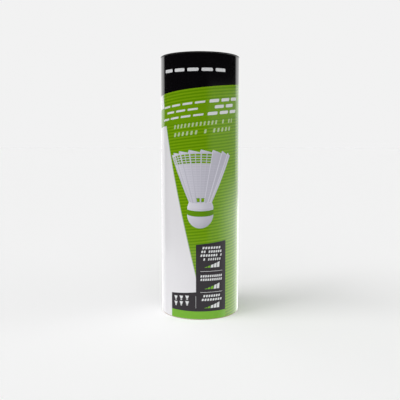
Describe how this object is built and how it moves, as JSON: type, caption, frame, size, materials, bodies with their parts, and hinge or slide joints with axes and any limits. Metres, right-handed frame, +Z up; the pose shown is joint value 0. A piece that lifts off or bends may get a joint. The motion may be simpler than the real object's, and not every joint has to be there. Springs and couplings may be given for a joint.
{
  "type": "tube of badminton shuttlecocks",
  "caption": "Cylindrical paperboard tube with a printed wrap, a sunk base and a black plug lid, holding nylon badminton shuttlecocks nested head up.",
  "frame": {"origin": "middle of the underside, on the surface that the tube stands on", "axes": "+Z up along the tube's axis, -Y out of the middle of the printed front, +X to the front's right"},
  "size_m": [0.07, 0.07, 0.2287],
  "materials": {
    "board": "raw grey-brown board",
    "wrap_print": "printed and gloss laminated",
    "base_plastic": "satin",
    "lid_plastic": "satin",
    "nylon": "smooth translucent moulding",
    "cork": "composition cork",
    "head_skin": "smooth synthetic",
    "ribbon": "gloss tape"
  },
  "bodies": {
    "tube_body": {"tube": "board", "wrap": "wrap_print", "base": "base_plastic"},
    "shuttle_1": {"shuttle_1_skirt": "nylon", "shuttle_1_core": "cork", "shuttle_1_skin": "head_skin", "shuttle_1_band": "ribbon"},
    "shuttle_2": {"shuttle_2_skirt": "nylon", "shuttle_2_core": "cork", "shuttle_2_skin": "head_skin", "shuttle_2_band": "ribbon"},
    "shuttle_3": {"shuttle_3_skirt": "nylon", "shuttle_3_core": "cork", "shuttle_3_skin": "head_skin", "shuttle_3_band": "ribbon"},
    "shuttle_4": {"shuttle_4_skirt": "nylon", "shuttle_4_core": "cork", "shuttle_4_skin": "head_skin", "shuttle_4_band": "ribbon"},
    "shuttle_5": {"shuttle_5_skirt": "nylon", "shuttle_5_core": "cork", "shuttle_5_skin": "head_skin", "shuttle_5_band": "ribbon"},
    "shuttle_6": {"shuttle_6_skirt": "nylon", "shuttle_6_core": "cork", "shuttle_6_skin": "head_skin", "shuttle_6_band": "ribbon"},
    "lid_body": {"lid": "lid_plastic"}
  },
  "joints": [
    {"name": "shuttle_1_lift", "type": "slide", "parent": "tube_body", "child": "shuttle_1", "axis": [0, 0, 1], "range_m": [0, 0.227]},
    {"name": "shuttle_2_lift", "type": "slide", "parent": "shuttle_1", "child": "shuttle_2", "axis": [0, 0, 1], "range_m": [0, 0.202]},
    {"name": "shuttle_3_lift", "type": "slide", "parent": "shuttle_2", "child": "shuttle_3", "axis": [0, 0, 1], "range_m": [0, 0.176]},
    {"name": "shuttle_4_lift", "type": "slide", "parent": "shuttle_3", "child": "shuttle_4", "axis": [0, 0, 1], "range_m": [0, 0.151]},
    {"name": "shuttle_5_lift", "type": "slide", "parent": "shuttle_4", "child": "shuttle_5", "axis": [0, 0, 1], "range_m": [0, 0.125]},
    {"name": "shuttle_6_lift", "type": "slide", "parent": "shuttle_5", "child": "shuttle_6", "axis": [0, 0, 1], "range_m": [0, 0.1]},
    {"name": "lid_lift", "type": "slide", "parent": "shuttle_6", "child": "lid_body", "axis": [0, 0, 1], "range_m": [0, 0.06]}
  ]
}
